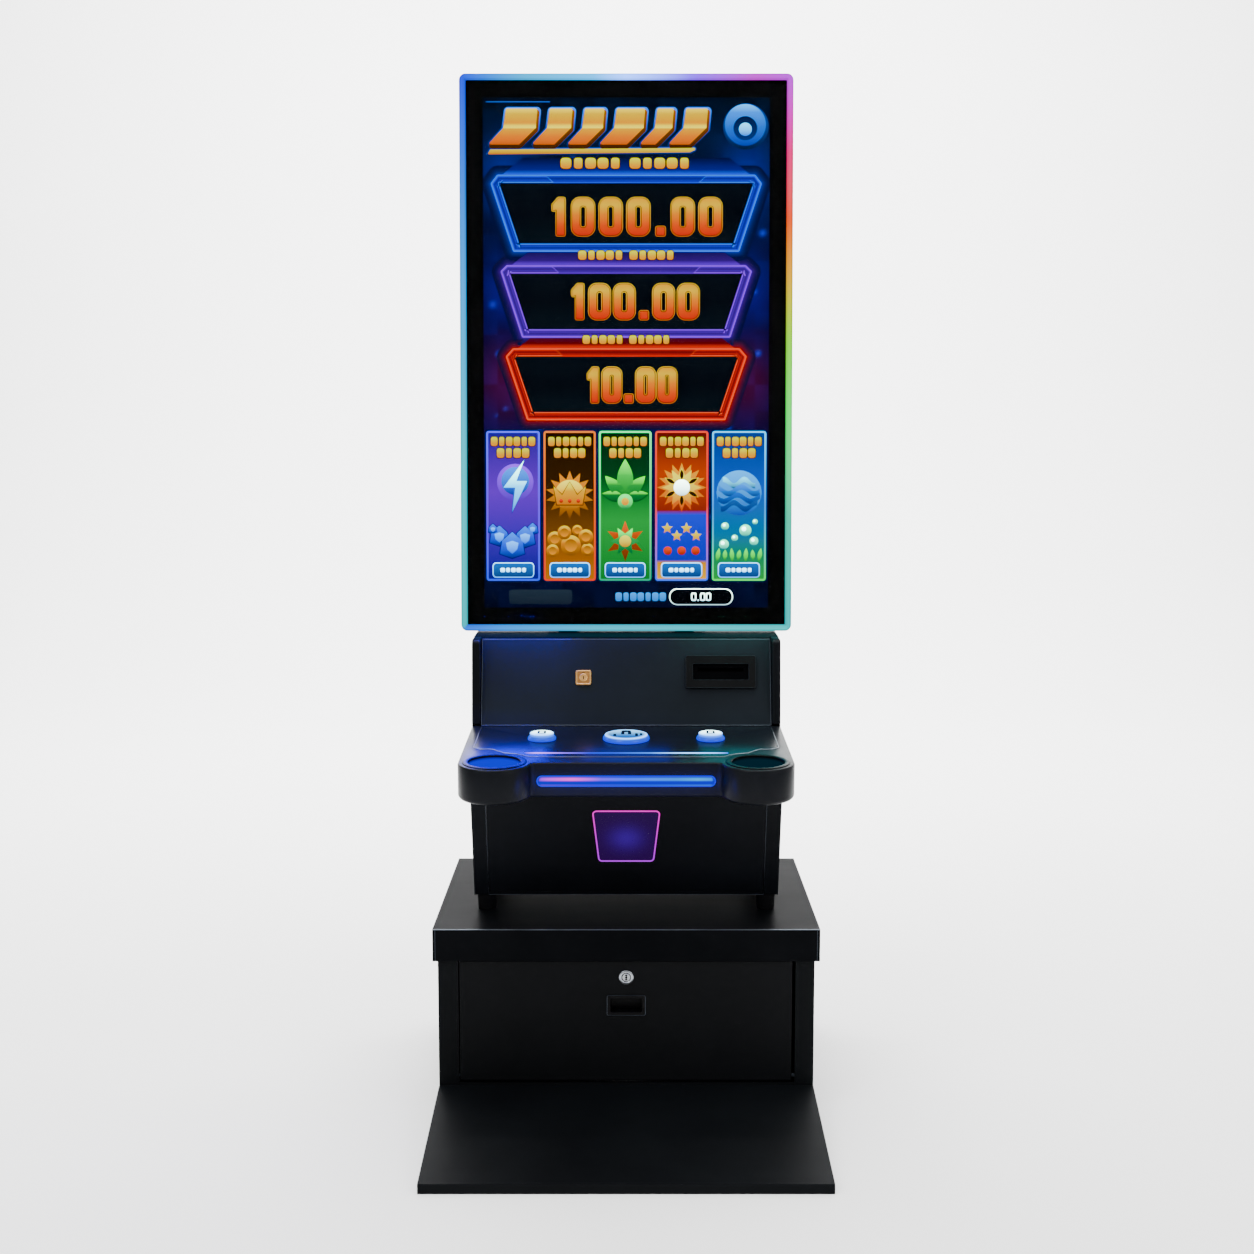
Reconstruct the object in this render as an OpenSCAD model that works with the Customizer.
/* [Stand] */
// Width of the stand's body
stand_w = 674; // [620:1:800]
// Depth of the stand's body
stand_d = 494; // [460:1:600]
// Height of the stand to the top of its lid
stand_h = 338.5; // [290:0.5:420]
// How far the lid overhangs the body on every side
lid_overhang = 8.5; // [6:0.5:20]
// Height of the lid's skirt
skirt_h = 58.5; // [30:0.5:80]
// Steel sheet of the stand
stand_t = 2.5; // [1.5:0.1:3]
// Width of each front post
post_w = 35.2; // [28:0.1:60]
// Height of the sill below the flap
sill_h = 52; // [50:0.5:70]

/* [Footrest] */
// How far the footrest reaches in front of the stand
footrest_d = 347; // [200:1:450]
// Height of the footrest's front lip
lip_h = 17; // [10:0.5:25]
// Height of the footrest where it meets the stand
footrest_h = 48; // [30:0.5:49.5]
// Steel plate of the footrest
footrest_t = 3; // [2:0.1:5]

/* [Flap] */
// Gap on the flap's left side
flap_gap_left = 2; // [1.6:0.1:6]
// Gap on the flap's right side
flap_gap_right = 6; // [1.6:0.1:10]
// Gap above and below the flap
flap_gap = 4; // [3:0.1:8]
// Depth of the flap's folded pan
flap_d = 18; // [12:0.5:24]
// Radius of the flap's pivot pins
pivot_r = 4; // [3:0.1:6]
// Drop of the lock's centre below the lid's skirt
lock_drop = 31.4; // [24:0.1:50]
// Radius of the lock's chromed rim
lock_r = 13; // [11:0.1:16]
// Width of the recessed pull
pull_w = 70; // [50:1:100]
// Height of the recessed pull
pull_h = 38; // [30:1:50]
// Drop of the pull's centre below the lid's skirt
pull_drop = 83.5; // [76:0.5:110]

/* [Cabinet] */
// Width of the cabinet and of the deck
cab_w = 560; // [520:1:640]
// Height of the cabinet's feet
foot_h = 29.5; // [20:0.5:50]
// Setback of the cabinet's bottom edge behind the stand's front face
cab_setback = 113.5; // [60:0.5:160]
// Depth of the cabinet at its bottom
cab_d = 362; // [320:1:440]
// Height of the cabinet from its bottom to the rear of the deck
belly_h = 319; // [260:1:400]
// Height of the upper section above the deck
upper_h = 156; // [120:1:260]
// Steel sheet of the cabinet
cab_t = 2; // [1.5:0.1:3]
// Forward lean of the belly front, in degrees
belly_lean = 19; // [10:0.5:22]
// Backward lean of the upper panel, in degrees
panel_lean = 16; // [8:0.5:20]
// Thickness of the side cheeks
cheek_t = 15.5; // [10:0.5:24]
// Side margin beside the belly panel
belly_margin = 28; // [20:0.5:50]

/* [Deck] */
// Forward slope of the deck, in degrees
deck_slope = 2.5; // [0:0.5:5]
// Depth of the deck at its middle
deck_d = 284; // [250:1:320]
// Thickness of the deck
deck_h = 60; // [55:0.5:75]
// Outer radius of the cup lobes
lobe_r = 61; // [58:0.5:70]
// How far the lobes' centres lie behind the deck's front edge
lobe_back = 6; // [0:0.5:20]
// Fillet between a lobe and the front
fillet_r = 10; // [6:0.5:20]
// Inner radius of a cup liner
cup_r = 48.5; // [40:0.5:50]
// Depth of the cup liners
cup_d = 52; // [30:1:54]

/* [Buttons] */
// Distance of the small buttons from the middle
button_x = 148; // [100:1:180]
// Distance of the buttons from the deck's rear edge
button_y = 108; // [90:1:130]
// Outer radius of a small button's ring
small_ring_r = 25; // [20:0.5:32]
// Outer radius of the centre button's ring
big_ring_r = 41; // [30:0.5:50]
// Travel of a button
press = 3; // [1.5:0.1:3.5]

/* [Screen] */
// Width of the visible picture
picture_w = 529.4; // [450:0.1:620]
// Height of the visible picture
picture_h = 941.2; // [800:0.1:1100]
// Black border around the picture
border = 31.9; // [20:0.1:50]
// Width of the lit rim
rim_w = 12.4; // [8:0.1:20]
// Backward lean of the screen, in degrees
screen_lean = 4; // [0:0.5:8]
// Depth of the screen unit
screen_d = 58; // [45:1:90]

/* [Hidden] */
$fn = 96;
eps = 0.01;            // cutters run past the faces they open by this much
air = 0.3;             // gap between pieces that only sit beside each other
run = 0.05;            // radial running clearance of pins and cores

// stand: the origin lies on the floor under the middle of the whole footprint
overall_d = footrest_d + stand_d + lid_overhang;
foot_y = -overall_d / 2;                 // front of the footrest
front_y = foot_y + footrest_d;           // front face of the stand
rear_y = front_y + stand_d;
skirt_z = stand_h - skirt_h;
body_top = stand_h - stand_t;
open_l = -stand_w / 2 + post_w + 1.3;    // left side of the flap's opening
open_r = stand_w / 2 - post_w + 1.2;     // right side of it
rail_z = skirt_z + 1;                    // underside of the rail above the flap
post_d = 37.5;                           // depth of the posts' returns
rail_d = flap_d + 0.5;
flap_l = open_l + flap_gap_left;
flap_r = open_r - flap_gap_right;
flap_bottom = sill_h + flap_gap + 1;
flap_top = skirt_z - flap_gap + 1;
pivot_y = front_y + pivot_r + 2;
pivot_z = flap_bottom + pivot_r + 3;
lock_z = skirt_z - lock_drop;
plug_r = 7;                              // turning plug of a cam lock
pull_z = skirt_z - pull_drop;
anchor_x = 250;                          // floor anchor holes
anchor_r = 6.5;
anchor_dy = 170;
anchor_y = front_y + stand_d / 2;
cable_r = 25;                            // cable hole through the lid and the cabinet's floor
bolt_r = 4;                              // bolts and studs, their holes, heads and nuts
hole_r = 4.25;
nut_r = 7.5;
nut_h = 6;
step_bolt_x = 200;                       // bolts that hold the footrest to the stand
step_bolt_z = 24;

// cabinet
cab_z = stand_h + foot_h;
cab_y = front_y + cab_setback;
cab_rear = cab_y + cab_d;
deck_z = cab_z + belly_h;
deck_y = cab_y - 15;                     // rear edge of the deck
top_z = deck_z + upper_h;
half_w = cab_w / 2;
foot_x = half_w - 22;
foot_front = cab_y + 18;
foot_rear = cab_rear - 38;
under_y = deck_y + deck_h * sin(deck_slope);      // rear lower corner of the deck
under_z = deck_z - deck_h * cos(deck_slope);
belly_top_z = (under_z + (cab_y + cab_z * tan(belly_lean) - under_y) * tan(deck_slope))
    / (1 + tan(belly_lean) * tan(deck_slope));
belly_top_y = cab_y - (belly_top_z - cab_z) * tan(belly_lean);
belly_l = (belly_top_z - cab_z) / cos(belly_lean);
cheek_y = deck_y - 4;                    // front of the cheeks
cheek_lean = 5.6;                        // lean of the cheeks' front edge, in degrees
cheek_r = 10;
cheek_rear = deck_y + 59;
cheek_z = deck_z + 3;
panel_l = (top_z - cab_t - deck_z) / cos(panel_lean);
panel_top_y = deck_y + panel_l * sin(panel_lean);
panel_d = 14;
panel_t = 2.5;
bill_x = 172;                            // bill acceptor, along and up the upper panel
bill_z = 98;
bill_w = 128;
bill_h = 60;
slot_w = 84;
slot_h = 7;
key_x = -78;                             // key plate
key_z = 88;
key_r = 6;

// rear of the cabinet
back_t = cab_t;
door_w = 460;                            // rear doorway
door_z0 = cab_z + 162;
door_z1 = top_z - 25;
door_lap = 8;
door_gap = 0.5;
hinge_r = 2.5;
hinge_x = -door_w / 2 - 22;
hinge_y = cab_rear + door_gap + cab_t + 5;
hinge_len = 24;
hinge_zs = [door_z0 + 50, door_z1 - 50];
rear_lock_x = door_w / 2 - 25;
rear_lock_z = (door_z0 + door_z1) / 2;
rear_lock_d = 2 * cab_t + door_gap + 1.5;
fan_x = -170;
fan_z = cab_z + 77;
fan_s = 120;
fan_d = 25;
inlet_x = 215;
inlet_z = cab_z + 62;

// deck
lobe_x = half_w - lobe_r;
lobe_y = -deck_d + lobe_back;
deck_t = 3;
deck_top_t = 5;
inset_t = 2;                             // thickness of the button panel, flush in the deck
cup_wall = 1.5;
light_y = -215;                          // light strip in the button panel
light_w = 2 * lobe_x - 92;
flat_half = lobe_x - sqrt(pow(lobe_r + fillet_r, 2) - pow(fillet_r + lobe_back, 2));
bar_w = 2 * flat_half - 1.6;             // light bar in the deck's front
bar_h = 19;
bar_z = -31;
small = [small_ring_r, small_ring_r - 4, 6, 12.5, 14, 10];   // ring, cap, heights, barrel, stem
big = [big_ring_r, big_ring_r - 3.5, 6.5, 10, 20, 14];
barrel_d = 30;

// screen, standing on its own lean
glass_w = picture_w + 2 * border;
glass_h = picture_h + 2 * border;
screen_w = glass_w + 2 * rim_w;
screen_h = glass_h + 2 * rim_w;
rim_d = 20;
rim_r = 12;
screen_y = panel_top_y + 73;
screen_z = top_z + 3;
mast_x = 110;
bracket_t = 4;
mast_top = screen_h / 2 + 200;

function unit(v) = v / norm(v);

// points of an arc from angle a0 to a1 about c
function arc(c, r, a0, a1, n = 16) =
    [for (k = [0:n]) c + r * [cos(a0 + (a1 - a0) * k / n), sin(a0 + (a1 - a0) * k / n)]];

// a polygon's points with every corner rounded to r
function rounded(p, r, n = 6) = [
    for (i = [0:len(p) - 1])
        let (c = p[i], u = unit(p[(i + len(p) - 1) % len(p)] - c), v = unit(p[(i + 1) % len(p)] - c))
        let (half = acos(u * v) / 2, m = c + unit(u + v) * r / sin(half))
        let (s = c + u * r / tan(half) - m, e = c + v * r / tan(half) - m)
        let (turn = (s.x * e.y - s.y * e.x > 0 ? 1 : -1) * (180 - 2 * half), a0 = atan2(s.y, s.x))
        each arc(m, r, a0, a0 + turn, n)
];

function oblong(w, h) = [[-w / 2, -h / 2], [w / 2, -h / 2], [w / 2, h / 2], [-w / 2, h / 2]];

// the belly light's outline, wider at its top
function keystone(grow) = let (t = 62 + grow, b = 51 + grow, h = 54.5 + grow)
    rounded([[-b, -h], [b, -h], [t, h], [-t, h]], 8 + grow);

// the deck's plan, drawn inwards by inset
function lobe_half(inset) =
    let (c = [lobe_x, lobe_y])
    let (f = [flat_half, -deck_d - fillet_r], tilt = atan2(fillet_r + lobe_back, lobe_x - flat_half))
    concat([[half_w - inset, -inset]], arc(c, lobe_r - inset, 0, tilt - 180, 28),
        arc(f, fillet_r + inset, tilt, 90, 8));
function mirrored(p) = [for (i = [len(p) - 1:-1:0]) [-p[i].x, p[i].y]];
function deck_outline(inset) = concat(lobe_half(inset), mirrored(lobe_half(inset)));

// the button panel's plan: wide behind the cups, narrow between them
function inset_half(gap) =
    let (r = cup_r + 17 + gap, x = half_w - 18 - gap, y1 = lobe_y + 92 + gap, y2 = lobe_y + 36 + gap)
    let (a2 = 180 - asin((y2 - lobe_y) / r))
    concat(arc([x - 12, -4 - gap - 12], 12, 90, 0, 6), arc([x - 18, y1 + 18], 18, 0, -90, 8),
        [[lobe_x + 10, y1]], arc([lobe_x, lobe_y], r, 100, a2, 12));
function inset_outline(gap) = concat(inset_half(gap), mirrored(inset_half(gap)));

module box(lo, hi) {
    translate(lo) cube(hi - lo);
}

// an open pan of sheet: outer box lo to hi with its face at lo.y
module pan(lo, hi, t) {
    difference() {
        box(lo, hi);
        box(lo + [t, t, t], hi + [-t, eps, -t]);
    }
}

// outline in X and Z, drawn from y0 back to y1
module slab(y0, y1) {
    translate([0, y1, 0]) rotate([90, 0, 0]) linear_extrude(y1 - y0) children();
}

// profile in Y and Z, drawn from x0 to x1
module across(x0, x1) {
    translate([x0, 0, 0]) rotate([90, 0, 90]) linear_extrude(x1 - x0) children();
}

// a bar along +Y from y0 to y1
module rod_y(r, y0, y1) {
    translate([0, y0, 0]) rotate([-90, 0, 0]) cylinder(r = r, h = y1 - y0);
}

module rod_x(r, x0, x1) {
    translate([x0, 0, 0]) rotate([0, 90, 0]) cylinder(r = r, h = x1 - x0);
}

module on_deck() {
    translate([0, deck_y, deck_z]) rotate([deck_slope, 0, 0]) children();
}

module on_belly() {
    translate([0, cab_y, cab_z]) rotate([belly_lean, 0, 0]) children();
}

module on_panel() {
    translate([0, deck_y, deck_z]) rotate([-panel_lean, 0, 0]) children();
}

module on_screen() {
    translate([0, screen_y, screen_z]) rotate([-screen_lean, 0, 0]) children();
}

// ---- stand ----

module stand_body() {
    color([0.05, 0.055, 0.06]) difference() {
        union() {
            box([-stand_w / 2, front_y, 0], [stand_w / 2, rear_y, stand_t]);
            box([-stand_w / 2, front_y, 0], [-stand_w / 2 + stand_t, rear_y, body_top]);
            box([stand_w / 2 - stand_t, front_y, 0], [stand_w / 2, rear_y, body_top]);
            box([-stand_w / 2, rear_y - stand_t, 0], [stand_w / 2, rear_y, body_top]);
            difference() {
                box([-stand_w / 2, front_y, 0], [stand_w / 2, front_y + stand_t, body_top]);
                box([open_l, front_y - 1, sill_h], [open_r, front_y + stand_t + 1, rail_z]);
            }
            box([open_l - stand_t, front_y, 0], [open_l, front_y + post_d, body_top]);
            box([open_r, front_y, 0], [open_r + stand_t, front_y + post_d, body_top]);
            box([open_l, front_y, sill_h - stand_t], [open_r, front_y + post_d, sill_h]);
            box([open_l, front_y, rail_z], [open_r, front_y + rail_d, rail_z + stand_t]);
            box([open_l, front_y + rail_d - stand_t, rail_z], [open_r, front_y + rail_d, body_top]);
        }
        for (x = [-anchor_x, anchor_x], y = [-anchor_dy, anchor_dy])
            translate([x, anchor_y + y, -1]) cylinder(r = anchor_r, h = stand_t + 2);
        translate([0, rear_y - stand_t - 1, body_top - 60]) rod_y(cable_r, 0, stand_t + 2);
        for (x = [-step_bolt_x, step_bolt_x])
            translate([x, front_y - 1, step_bolt_z]) rod_y(hole_r, 0, stand_t + 2);
    }
}

module stand_lid() {
    x = stand_w / 2 + lid_overhang;
    color([0.13, 0.14, 0.16]) difference() {
        box([-x, front_y - lid_overhang, skirt_z], [x, rear_y + lid_overhang, stand_h]);
        box([-x + stand_t, front_y - lid_overhang + stand_t, skirt_z - 1],
            [x - stand_t, rear_y + lid_overhang - stand_t, body_top]);
        for (x = [-foot_x, foot_x], y = [foot_front, foot_rear])
            translate([x, y, body_top - 1]) cylinder(r = hole_r, h = stand_t + 2);
        translate([0, cab_rear - 90, body_top - 1]) cylinder(r = cable_r, h = stand_t + 2);
    }
}

module footrest_plate() {
    w = stand_w / 2;
    slope = (footrest_h - lip_h) / footrest_d;
    t = footrest_t;
    color([0.07, 0.075, 0.085]) difference() {
        across(-w, w) polygon([[foot_y, 0], [front_y, 0], [front_y, footrest_h], [foot_y, lip_h]]);
        across(-w + t, w - t) polygon([[foot_y + t, -1], [front_y - t, -1],
            [front_y - t, footrest_h - t * (1 + slope)], [foot_y + t, lip_h - t * (1 - slope)]]);
        for (x = [-step_bolt_x, step_bolt_x])
            translate([x, front_y - t - 1, step_bolt_z]) rod_y(hole_r, 0, t + 2);
    }
}

// bolts of the footrest, and the studs that hold the cabinet's feet to the lid
module base_bolts() {
    color("silver") {
        for (x = [-step_bolt_x, step_bolt_x]) translate([x, 0, step_bolt_z]) {
            rod_y(bolt_r, front_y - footrest_t - 2, front_y + stand_t + 2);
            rod_y(nut_r, front_y - footrest_t - nut_h, front_y - footrest_t);
            rod_y(nut_r, front_y + stand_t, front_y + stand_t + nut_h);
        }
        for (x = [-foot_x, foot_x], y = [foot_front, foot_rear]) translate([x, y, 0]) {
            translate([0, 0, body_top - 4]) cylinder(r = bolt_r, h = cab_z + cab_t + 8 - body_top);
            translate([0, 0, body_top - nut_h]) cylinder(r = nut_r, h = nut_h);
            translate([0, 0, cab_z + cab_t]) cylinder(r = nut_r, h = nut_h);
        }
    }
}

// stub pins fixed in the posts, with a collar beside the flap
module flap_pivots() {
    color("silver") translate([0, pivot_y, pivot_z]) {
        rod_x(pivot_r, open_l, flap_l + 12);
        rod_x(pivot_r + 2, open_l, flap_l - 0.5);
        rod_x(pivot_r, flap_r - 12, open_r);
        rod_x(pivot_r + 2, flap_r + 0.5, open_r);
    }
}

module stand_flap() {
    color([0.045, 0.05, 0.055]) difference() {
        union() {
            pan([flap_l, front_y, flap_bottom], [flap_r, front_y + flap_d, flap_top], stand_t);
            translate([0, pivot_y, pivot_z]) {
                rod_x(pivot_r + 2, flap_l, flap_l + 10);
                rod_x(pivot_r + 2, flap_r - 10, flap_r);
            }
        }
        translate([0, pivot_y, pivot_z]) {
            rod_x(pivot_r + run, flap_l - 1, flap_l + 13);
            rod_x(pivot_r + run, flap_r - 13, flap_r + 1);
        }
        translate([0, front_y - 1, lock_z]) rod_y(lock_r - 3, 0, stand_t + 2);
        translate([0, 0, pull_z]) slab(front_y - 1, front_y + stand_t + 1)
            polygon(rounded(oblong(pull_w - 8, pull_h - 8), 3));
    }
}

// inner skin of the flap, which stiffens it
module flap_liner() {
    y = front_y + flap_d;
    inner = stand_t + air;
    color("dimgray") difference() {
        box([flap_l + inner, y - 2, flap_bottom + inner + 14], [flap_r - inner, y, flap_top - inner]);
        translate([0, y - 3, lock_z]) rod_y(18, 0, 4);
        box([-pull_w / 2, y - 3, pull_z - pull_h / 2], [pull_w / 2, y + 1, pull_z + pull_h / 2]);
    }
}

module flap_pull() {
    w = pull_w;
    h = pull_h;
    deep = flap_d + 8;
    color([0.02, 0.02, 0.02]) translate([0, 0, pull_z]) difference() {
        union() {
            slab(front_y - 1.5, front_y) polygon(rounded(oblong(w, h), 5));
            slab(front_y, front_y + deep) polygon(rounded(oblong(w - 9, h - 9), 2.6));
        }
        slab(front_y - 2, front_y + deep - 2) polygon(rounded(oblong(w - 13, h - 13), 1.6));
    }
}

module flap_lock_barrel() {
    color("silver") translate([0, front_y, lock_z]) difference() {
        union() {
            rod_y(lock_r, -3, 0);
            rod_y(lock_r - 3 - 0.1, 0, flap_d + 1);
            rod_y(lock_r, stand_t, stand_t + 5);
        }
        rod_y(plug_r + run, -4, flap_d + 2);
    }
}

// plug and cam in one: the cam lies level when unlocked, and stands up behind the rail when locked
module flap_lock_core() {
    tail = flap_d + 3;
    color("gainsboro") translate([0, front_y, lock_z]) {
        difference() {
            rod_y(plug_r, -2.6, tail);
            box([-0.8, -3, -4.5], [0.8, -0.6, 4.5]);
            rod_y(1.8, -3, -0.6);
        }
        box([-8, tail, -8], [rail_z - lock_z + 14, tail + 2.5, 8]);
    }
}

// ---- cabinet ----

module cabinet_feet() {
    color([0.03, 0.03, 0.03]) for (x = [-foot_x, foot_x], y = [foot_front, foot_rear])
        translate([x, y, stand_h]) difference() {
            cylinder(r1 = 16, r2 = 18, h = foot_h);
            translate([0, 0, -1]) cylinder(r = hole_r, h = foot_h + 2);
        }
}

module cabinet_floor() {
    z = cab_z;
    color([0.05, 0.05, 0.055]) difference() {
        box([-half_w + cab_t, cab_y + 3, z], [half_w - cab_t, cab_rear - back_t, z + cab_t]);
        for (x = [-foot_x, foot_x], y = [foot_front, foot_rear])
            translate([x, y, z - 1]) cylinder(r = hole_r, h = cab_t + 2);
        translate([0, cab_rear - 90, z - 1]) cylinder(r = cable_r, h = cab_t + 2);
        for (x = [-150, 150]) translate([x, cab_y + 66, z - 1]) cylinder(r = 38, h = cab_t + 2);
    }
}

module side_sheet(x0) {
    color([0.05, 0.055, 0.06]) across(x0, x0 + cab_t) polygon([
        [cab_y, cab_z], [cab_rear, cab_z], [cab_rear, top_z], [cheek_rear, top_z],
        [cheek_rear, cheek_z], [deck_y, cheek_z], [deck_y, deck_z], [under_y, under_z],
        [belly_top_y, belly_top_z]]);
}

module left_side() {
    side_sheet(-half_w);
}

module right_side() {
    side_sheet(half_w - cab_t);
}

module cabinet_back() {
    w = half_w - cab_t;
    color([0.05, 0.055, 0.06]) translate([0, cab_rear - back_t, 0]) difference() {
        box([-w, 0, cab_z], [w, back_t, top_z]);
        box([-door_w / 2, -1, door_z0], [door_w / 2, back_t + 1, door_z1]);
        translate([fan_x, -1, fan_z]) rod_y(56, 0, back_t + 2);
        for (x = [-52.5, 52.5], z = [-52.5, 52.5])
            translate([fan_x + x, -1, fan_z + z]) rod_y(2.2, 0, back_t + 2);
        box([inlet_x - 23, -1, inlet_z - 12.5], [inlet_x + 23, back_t + 1, inlet_z + 12.5]);
    }
}

module cabinet_top() {
    w = half_w - cab_t;
    color([0.13, 0.14, 0.16]) difference() {
        union() {
            box([-w, cheek_rear, top_z - cab_t], [w, cab_rear - back_t, top_z]);
            box([-half_w + cheek_t, panel_top_y, top_z - cab_t],
                [half_w - cheek_t, cheek_rear + 1, top_z]);
        }
        translate([0, screen_y + 110, top_z - cab_t - 1]) cylinder(r = 20, h = cab_t + 2);
    }
}

module belly_frame() {
    w = half_w - cab_t;
    m = half_w - belly_margin + 0.8;
    lip = 12;
    color([0.045, 0.05, 0.055]) on_belly() difference() {
        union() {
            box([-w, 0, 1], [w, cab_t, belly_l - 1]);
            box([-m - cab_t, 0, 4.7], [m + cab_t, lip, belly_l - 9.2 + cab_t]);
        }
        box([-m, -1, 4.7 + cab_t], [m, lip + 1, belly_l - 9.2]);
    }
}

module belly_panel() {
    m = half_w - belly_margin;
    color([0.04, 0.045, 0.05]) on_belly() difference() {
        pan([-m, 0, 7.5], [m, 11, belly_l - 10], cab_t);
        translate([0, 0, belly_light_z()]) slab(-1, cab_t + 1) polygon(keystone(0));
    }
}

// height of the light's centre up the belly panel
function belly_light_z() = belly_l / 2 - 8;

module belly_light_trim() {
    color([1, 0.3, 0.9]) on_belly() translate([0, 0, belly_light_z()]) difference() {
        slab(-1, 1.5) polygon(keystone(-0.2));
        slab(-2, 3) polygon(keystone(-2.7));
    }
}

module belly_light_window() {
    color([0.12, 0.02, 0.35, 0.8]) on_belly() translate([0, 0, belly_light_z()]) {
        slab(-0.4, 1.5) polygon(keystone(-2.9));
        slab(1.5, 5) polygon(keystone(-0.2));
    }
}

module cheek(x0) {
    lean = tan(cheek_lean);
    top = top_z - cheek_z;
    color([0.05, 0.055, 0.06]) across(x0, x0 + cheek_t) polygon(concat(
        [[cheek_y, cheek_z], [cheek_rear, cheek_z], [cheek_rear, top_z]],
        arc([cheek_y + top * lean + cheek_r, top_z - cheek_r], cheek_r, 90, 180 - cheek_lean, 8)));
}

module left_cheek() {
    cheek(-half_w);
}

module right_cheek() {
    cheek(half_w - cheek_t);
}

module upper_panel() {
    w = half_w - cheek_t - 0.5;
    color([0.11, 0.13, 0.16]) on_panel() difference() {
        pan([-w, 0, 0], [w, panel_d, panel_l], panel_t);
        box([bill_x - 59, -1, bill_z - 25], [bill_x + 59, panel_t + 1, bill_z + 25]);
        translate([key_x, -1, key_z]) rod_y(9, 0, panel_t + 2);
    }
}

module bill_bezel() {
    color([0.02, 0.02, 0.02]) on_panel() translate([bill_x, 0, bill_z]) difference() {
        union() {
            slab(-8, 0) polygon(rounded(oblong(bill_w, bill_h), 4));
            box([-58.7, 0, -24.7], [58.7, panel_t + 1, 24.7]);
        }
        slab(-9, -2.5) polygon(rounded(oblong(101.5, 29), 2));
        box([-slot_w / 2, -9, 1], [slot_w / 2, panel_t + 2, 1 + slot_h]);
    }
}

module bill_validator() {
    y = panel_t + 1;
    color([0.06, 0.06, 0.07]) on_panel() translate([bill_x, 0, bill_z]) difference() {
        box([-52, y, -54], [52, y + 108, 30]);
        box([-slot_w / 2, y - 1, 1], [slot_w / 2, y + 60, 1 + slot_h]);
    }
}

module cash_box() {
    corner_y = panel_t + 109;
    top = deck_z - corner_y * sin(panel_lean) + (bill_z - 54) * cos(panel_lean) - air;
    color([0.1, 0.1, 0.11]) difference() {
        box([bill_x - 48, deck_y + 24, top - 170], [bill_x + 48, deck_y + 180, top]);
        box([bill_x - 46, deck_y + 26, top - 168], [bill_x + 46, deck_y + 178, top - 2]);
        box([bill_x - 42, deck_y + 60, top - 3], [bill_x + 42, deck_y + 70, top + 1]);
    }
}

module key_plate() {
    color([0.8, 0.62, 0.42]) on_panel() translate([key_x, 0, key_z]) difference() {
        union() {
            slab(-2.5, 0) polygon(rounded(oblong(27.8, 27), 3));
            rod_y(8.8, 0, 14);
        }
        rod_y(key_r + run, -3, 15);
    }
}

module key_core() {
    color([0.7, 0.52, 0.34]) on_panel() translate([key_x, 0, key_z]) {
        difference() {
            rod_y(key_r, -2.3, 16);
            box([-0.6, -3, -3.5], [0.6, -1, 3.5]);
        }
        box([-5, 16, -5], [16, 18, 5]);
    }
}

// ---- deck ----

module deck_shell() {
    color([0.06, 0.065, 0.075]) on_deck() difference() {
        translate([0, 0, -deck_h]) linear_extrude(deck_h) polygon(deck_outline(0));
        translate([0, 0, -deck_h + deck_t]) linear_extrude(deck_h - deck_t - deck_top_t)
            polygon(deck_outline(deck_t));
        translate([0, 0, -inset_t]) linear_extrude(deck_h) polygon(inset_outline(-air));
        for (x = [-lobe_x, lobe_x]) translate([x, lobe_y, -deck_top_t - 1])
            cylinder(r = cup_r + cup_wall + air, h = deck_h);
        for (b = [[-button_x, small], [0, big], [button_x, small]])
            translate([b[0], -button_y, -deck_top_t - 1]) cylinder(r = b[1][4] + air, h = deck_h);
        translate([0, 0, bar_z]) slab(-deck_d - 1, -deck_d + deck_t + 1)
            polygon(rounded(oblong(bar_w + 2 * air, bar_h + 2 * air), bar_h / 2, 10));
        for (x = [-120, 120]) translate([x, -deck_t - 1, -deck_h / 2]) rod_y(12, 0, deck_t + 2);
    }
}

module button_panel() {
    color([0.07, 0.08, 0.1]) on_deck() difference() {
        translate([0, 0, -inset_t]) linear_extrude(inset_t) polygon(inset_outline(0));
        for (b = [[-button_x, small], [0, big], [button_x, small]])
            translate([b[0], -button_y, -deck_top_t]) cylinder(r = b[1][4] + air, h = deck_h);
        box([-light_w / 2 - 0.2, light_y - 1.7, -inset_t - 1], [light_w / 2 + 0.2, light_y + 1.7, 1]);
    }
}

module cup_liner(x) {
    color([0.05, 0.06, 0.12]) on_deck() translate([x, lobe_y, 0]) difference() {
        union() {
            cylinder(r = cup_r + 5.5, h = 1.2);
            translate([0, 0, -cup_d - 2]) cylinder(r = cup_r + cup_wall, h = cup_d + 2.5);
        }
        translate([0, 0, -cup_d]) cylinder(r = cup_r, h = cup_d + 5);
    }
}

module left_cup() {
    cup_liner(-lobe_x);
}

module right_cup() {
    cup_liner(lobe_x);
}

module deck_light() {
    color([0.4, 0.8, 1]) on_deck()
        box([-light_w / 2, light_y - 1.5, -inset_t], [light_w / 2, light_y + 1.5, 0.6]);
}

module fascia_bezel() {
    color([0.1, 0.2, 1]) on_deck() translate([0, 0, bar_z]) difference() {
        slab(-deck_d - 1.5, -deck_d + deck_t) polygon(rounded(oblong(bar_w, bar_h), bar_h / 2 - 0.1, 10));
        slab(-deck_d - 2, -deck_d + 1.5)
            polygon(rounded(oblong(bar_w - 9, bar_h - 8), bar_h / 2 - 4.1, 10));
    }
}

module fascia_lens() {
    color([0.6, 0.9, 1]) on_deck() translate([0, 0, bar_z]) slab(-deck_d - 1, -deck_d + 1.5)
        polygon(rounded(oblong(bar_w - 9.6, bar_h - 8.6), bar_h / 2 - 4.4, 10));
}

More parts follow.
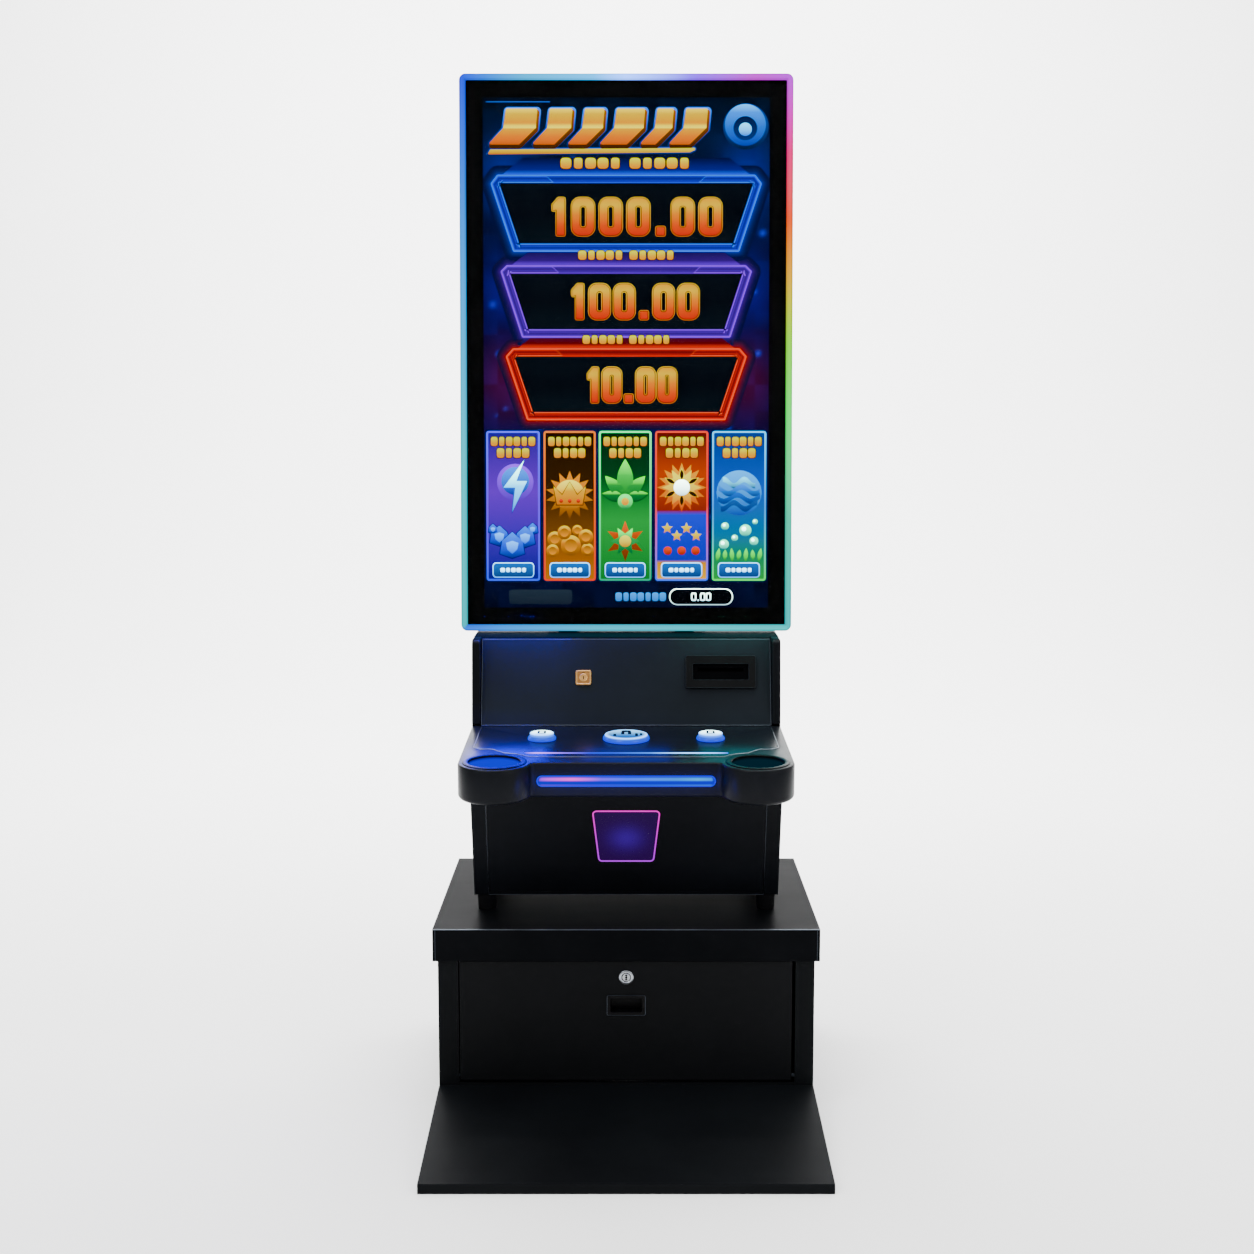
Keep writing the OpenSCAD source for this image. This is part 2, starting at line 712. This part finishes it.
// b holds the ring's radius, the cap's radius, the ring's and the cap's heights, barrel and stem
module button_ring(x, b) {
    color("gainsboro") on_deck() translate([x, -button_y, 0]) difference() {
        union() {
            cylinder(r = b[0], h = b[2]);
            translate([0, 0, -barrel_d]) cylinder(r = b[4], h = barrel_d + 1);
        }
        translate([0, 0, 1.5]) cylinder(r = b[1] + air, h = b[2]);
        translate([0, 0, -barrel_d - 1]) cylinder(r = b[5] + run, h = barrel_d + 5);
    }
}

module button_cap(x, b) {
    color("white") on_deck() translate([x, -button_y, 0]) {
        translate([0, 0, b[2] - 0.8]) cylinder(r = b[1], h = b[3] - b[2] + 0.8);
        translate([0, 0, -barrel_d + 8]) cylinder(r = b[5], h = barrel_d - 8 + b[2]);
    }
}

module left_button_ring() {
    button_ring(-button_x, small);
}

module centre_button_ring() {
    button_ring(0, big);
}

module right_button_ring() {
    button_ring(button_x, small);
}

module left_button_cap() {
    button_cap(-button_x, small);
}

module centre_button_cap() {
    button_cap(0, big);
}

module right_button_cap() {
    button_cap(button_x, small);
}

module button_switches() {
    color([0.1, 0.1, 0.1]) on_deck() for (x = [-button_x, 0, button_x])
        translate([x, -button_y, 0]) box([-14, -8, -barrel_d - 16], [14, 8, -barrel_d]);
}

// ---- screen ----

module monitor_mast() {
    y = screen_d + bracket_t;
    color([0.08, 0.085, 0.09]) difference() {
        union() {
            box([-150, screen_y + 60, top_z], [150, screen_y + 190, top_z + 6]);
            on_screen() {
                for (x = [-mast_x, mast_x]) box([x - 20, y, -20], [x + 20, y + 50, mast_top]);
                box([-mast_x, y + 10, 300], [mast_x, y + 40, 330]);
            }
        }
        box([-200, screen_y - 50, top_z - 50], [200, screen_y + 250, top_z]);
        on_screen() for (x = [-mast_x, mast_x]) box([x - 18, y + 2, -40], [x + 18, y + 48, mast_top - 2]);
        translate([0, screen_y + 110, top_z - 1]) cylinder(r = 20, h = 8);
    }
}

// plate on the screen's 400 by 400 holes, welded to the mast
module vesa_bracket() {
    z = screen_h / 2;
    color("dimgray") on_screen() difference() {
        box([-220, screen_d, z - 220], [220, screen_d + bracket_t, z + 220]);
        for (x = [-200, 200], dz = [-200, 200])
            translate([x, screen_d - 1, z + dz]) rod_y(3.3, 0, bracket_t + 2);
    }
}

module monitor_housing() {
    w = screen_w / 2;
    color([0.05, 0.05, 0.055]) on_screen() difference() {
        union() {
            slab(rim_d, rim_d + 2) polygon(rounded([[-w + 4, 4], [w - 4, 4], [w - 4, screen_h - 4],
                [-w + 4, screen_h - 4]], 8));
            box([-w + 15, rim_d, 15], [w - 15, screen_d, screen_h - 15]);
        }
        box([-w + 17, rim_d - 1, 17], [w - 17, screen_d - 2, screen_h - 17]);
        for (i = [-9:9]) box([i * 26 - 8, screen_d - 4, screen_h - 90], [i * 26 + 8, screen_d + 1, screen_h - 50]);
        for (i = [-9:9]) box([i * 26 - 8, screen_d - 4, 50], [i * 26 + 8, screen_d + 1, 90]);
        for (x = [-200, 200], dz = [-200, 200])
            translate([x, screen_d - 4, screen_h / 2 + dz]) rod_y(3.3, 0, 8);
    }
}

// upright outline of the screen, drawn inwards by inset
module screen_outline(inset, r) {
    w = screen_w / 2 - inset;
    polygon(rounded([[-w, inset], [w, inset], [w, screen_h - inset], [-w, screen_h - inset]], r));
}

module led_frame() {
    color([0.3, 0.7, 1]) on_screen() difference() {
        slab(0, rim_d) screen_outline(0, rim_r);
        slab(-1, rim_d + 1) screen_outline(rim_w, 3);
    }
}

module screen_panel() {
    m = rim_w + 1;
    color([0.03, 0.03, 0.1]) on_screen()
        box([-screen_w / 2 + m, 5, m], [screen_w / 2 - m, rim_d, screen_h - m]);
}

module screen_glass() {
    color([0.02, 0.02, 0.05, 0.5]) on_screen() slab(1.5, 5) screen_outline(rim_w + air, 2.7);
}

// ---- inside the cabinet ----

module game_computer() {
    z = cab_z + cab_t;
    y = cab_rear - 248;
    color([0.2, 0.2, 0.22]) difference() {
        box([-130, y, z], [150, y + 200, z + 90]);
        for (i = [-5:5]) box([10 + i * 20 - 6, y + 198, z + 50], [10 + i * 20 + 6, y + 201, z + 80]);
    }
}

module power_supply() {
    z = cab_z + cab_t;
    y = cab_rear - 248;
    color([0.75, 0.76, 0.78]) difference() {
        box([165, y, z], [262, y + 180, z + 50]);
        for (i = [0:8]) box([175, y + 15 + i * 18, z + 48], [252, y + 23 + i * 18, z + 51]);
    }
}

// two drivers that fire down through the cabinet's floor
module speaker_pair() {
    color([0.08, 0.08, 0.08]) for (x = [-150, 150]) translate([x, cab_y + 66, cab_z + cab_t]) {
        difference() {
            cylinder(r = 45, h = 3);
            translate([0, 0, -1]) cylinder(r = 35, h = 5);
        }
        difference() {
            translate([0, 0, 3]) cylinder(r1 = 40, r2 = 18, h = 22);
            translate([0, 0, 2.99]) cylinder(r1 = 37, r2 = 14, h = 20);
        }
        translate([0, 0, 25]) cylinder(r = 22, h = 12);
    }
}

module fan_frame() {
    y = cab_rear - back_t - fan_d;
    s = fan_s / 2;
    color([0.06, 0.06, 0.06]) translate([fan_x, y, fan_z]) difference() {
        union() {
            difference() {
                box([-s, 0, -s], [s, fan_d, s]);
                rod_y(56, -1, fan_d + 1);
            }
            for (a = [0:120:240]) rotate([0, a, 0]) box([-3, 0, 0], [3, 3, 57]);
            rod_y(18, 0, 3);
            rod_y(3, 0, 20);
        }
        for (x = [-52.5, 52.5], z = [-52.5, 52.5]) translate([x, 0, z]) rod_y(2.2, -1, fan_d + 1);
    }
}

module fan_rotor() {
    y = cab_rear - back_t - fan_d;
    color([0.12, 0.12, 0.12]) translate([fan_x, y, fan_z]) difference() {
        union() {
            rod_y(18, 3.5, 22);
            for (a = [0:360 / 7:359]) rotate([0, a, 0]) translate([0, 12.5, 16]) rotate([0, 0, 35])
                box([-13, -0.8, 0], [13, 0.8, 38]);
        }
        rod_y(3 + run, 3, 20.5);
    }
}

module rear_door() {
    y = cab_rear + door_gap;
    w = door_w / 2 + door_lap;
    color([0.05, 0.055, 0.06]) difference() {
        union() {
            box([-w, y, door_z0 - door_lap], [w, y + cab_t, door_z1 + door_lap]);
            for (z = hinge_zs) {
                translate([hinge_x, hinge_y, z - hinge_len / 2]) cylinder(r = 5, h = hinge_len);
                box([hinge_x, y + cab_t, z - hinge_len / 2], [-w + 18, y + cab_t + 2.5, z + hinge_len / 2]);
            }
        }
        for (z = hinge_zs) translate([hinge_x, hinge_y, z - hinge_len]) cylinder(r = hinge_r + run, h = 2 * hinge_len);
        translate([rear_lock_x, y - 1, rear_lock_z]) rod_y(9, 0, cab_t + 2);
        for (i = [0:7]) box([-60, y - 1, door_z0 + 20 + i * 12], [60, y + cab_t + 1, door_z0 + 25 + i * 12]);
    }
}

// fixed leaves and pins of the rear door
module rear_hinges() {
    g = hinge_len / 2 + air;
    color("silver") for (z = hinge_zs) {
        for (s = [-1, 1]) translate([0, 0, z + s * (g + 6) - 6]) {
            translate([hinge_x, hinge_y, 0]) cylinder(r = 5, h = 12);
            box([hinge_x - 18, cab_rear, 0], [hinge_x, hinge_y - 2, 12]);
        }
        translate([hinge_x, hinge_y, z - g - 6]) cylinder(r = hinge_r, h = 2 * g + 12);
        box([hinge_x - 18, cab_rear, z - g - 12], [hinge_x - 6, cab_rear + 2, z + g + 12]);
    }
}

module rear_lock_barrel() {
    y = cab_rear + door_gap + cab_t;
    color("silver") translate([rear_lock_x, y, rear_lock_z]) difference() {
        union() {
            rod_y(11, 0, 2.5);
            rod_y(8.9, -rear_lock_d, 1);
            rod_y(11, -cab_t - 3, -cab_t);
        }
        rod_y(6 + run, -rear_lock_d - 1, 3);
    }
}

// the cam stands up when unlocked, and turns behind the doorway's edge when locked
module rear_lock_core() {
    y = cab_rear + door_gap + cab_t;
    color("gainsboro") translate([rear_lock_x, y, rear_lock_z]) {
        difference() {
            rod_y(6, -rear_lock_d, 2.2);
            box([-0.7, 0.8, -4], [0.7, 3, 4]);
        }
        box([-7, -rear_lock_d - 2.5, -7], [7, -rear_lock_d, 38]);
    }
}

module power_inlet() {
    y = cab_rear;
    color([0.03, 0.03, 0.03]) translate([inlet_x, y, inlet_z]) difference() {
        union() {
            box([-26, 0, -15.5], [26, 2.5, 15.5]);
            box([-22.7, -30, -12.2], [22.7, 0, 12.2]);
        }
        box([-19, -16, -8], [3, 3, 8]);
        box([6.8, -12, -11.6], [20.2, 3, 11.6]);
        translate([0, -1.5, 0]) rod_x(1.5 + run, 5, 22);
    }
}

module power_rocker() {
    color([0.6, 0.05, 0.05]) translate([inlet_x, cab_rear - 1.5, inlet_z]) rotate([8, 0, 0]) {
        across(7.2, 19.8) polygon([[4.8, -9.6], [2.6, 0], [4.8, 9.6], [-4, 6], [-4, -6]]);
        rod_x(1.5, 5.4, 21.6);
    }
}

stand_body();
stand_lid();
footrest_plate();
base_bolts();
flap_pivots();
stand_flap();
flap_liner();
flap_pull();
flap_lock_barrel();
flap_lock_core();
cabinet_feet();
cabinet_floor();
left_side();
right_side();
cabinet_back();
cabinet_top();
belly_frame();
belly_panel();
belly_light_trim();
belly_light_window();
left_cheek();
right_cheek();
upper_panel();
bill_bezel();
bill_validator();
cash_box();
key_plate();
key_core();
deck_shell();
button_panel();
left_cup();
right_cup();
deck_light();
fascia_bezel();
fascia_lens();
left_button_ring();
centre_button_ring();
right_button_ring();
left_button_cap();
centre_button_cap();
right_button_cap();
button_switches();
monitor_mast();
vesa_bracket();
monitor_housing();
led_frame();
screen_panel();
screen_glass();
game_computer();
power_supply();
speaker_pair();
fan_frame();
fan_rotor();
rear_door();
rear_hinges();
rear_lock_barrel();
rear_lock_core();
power_inlet();
power_rocker();
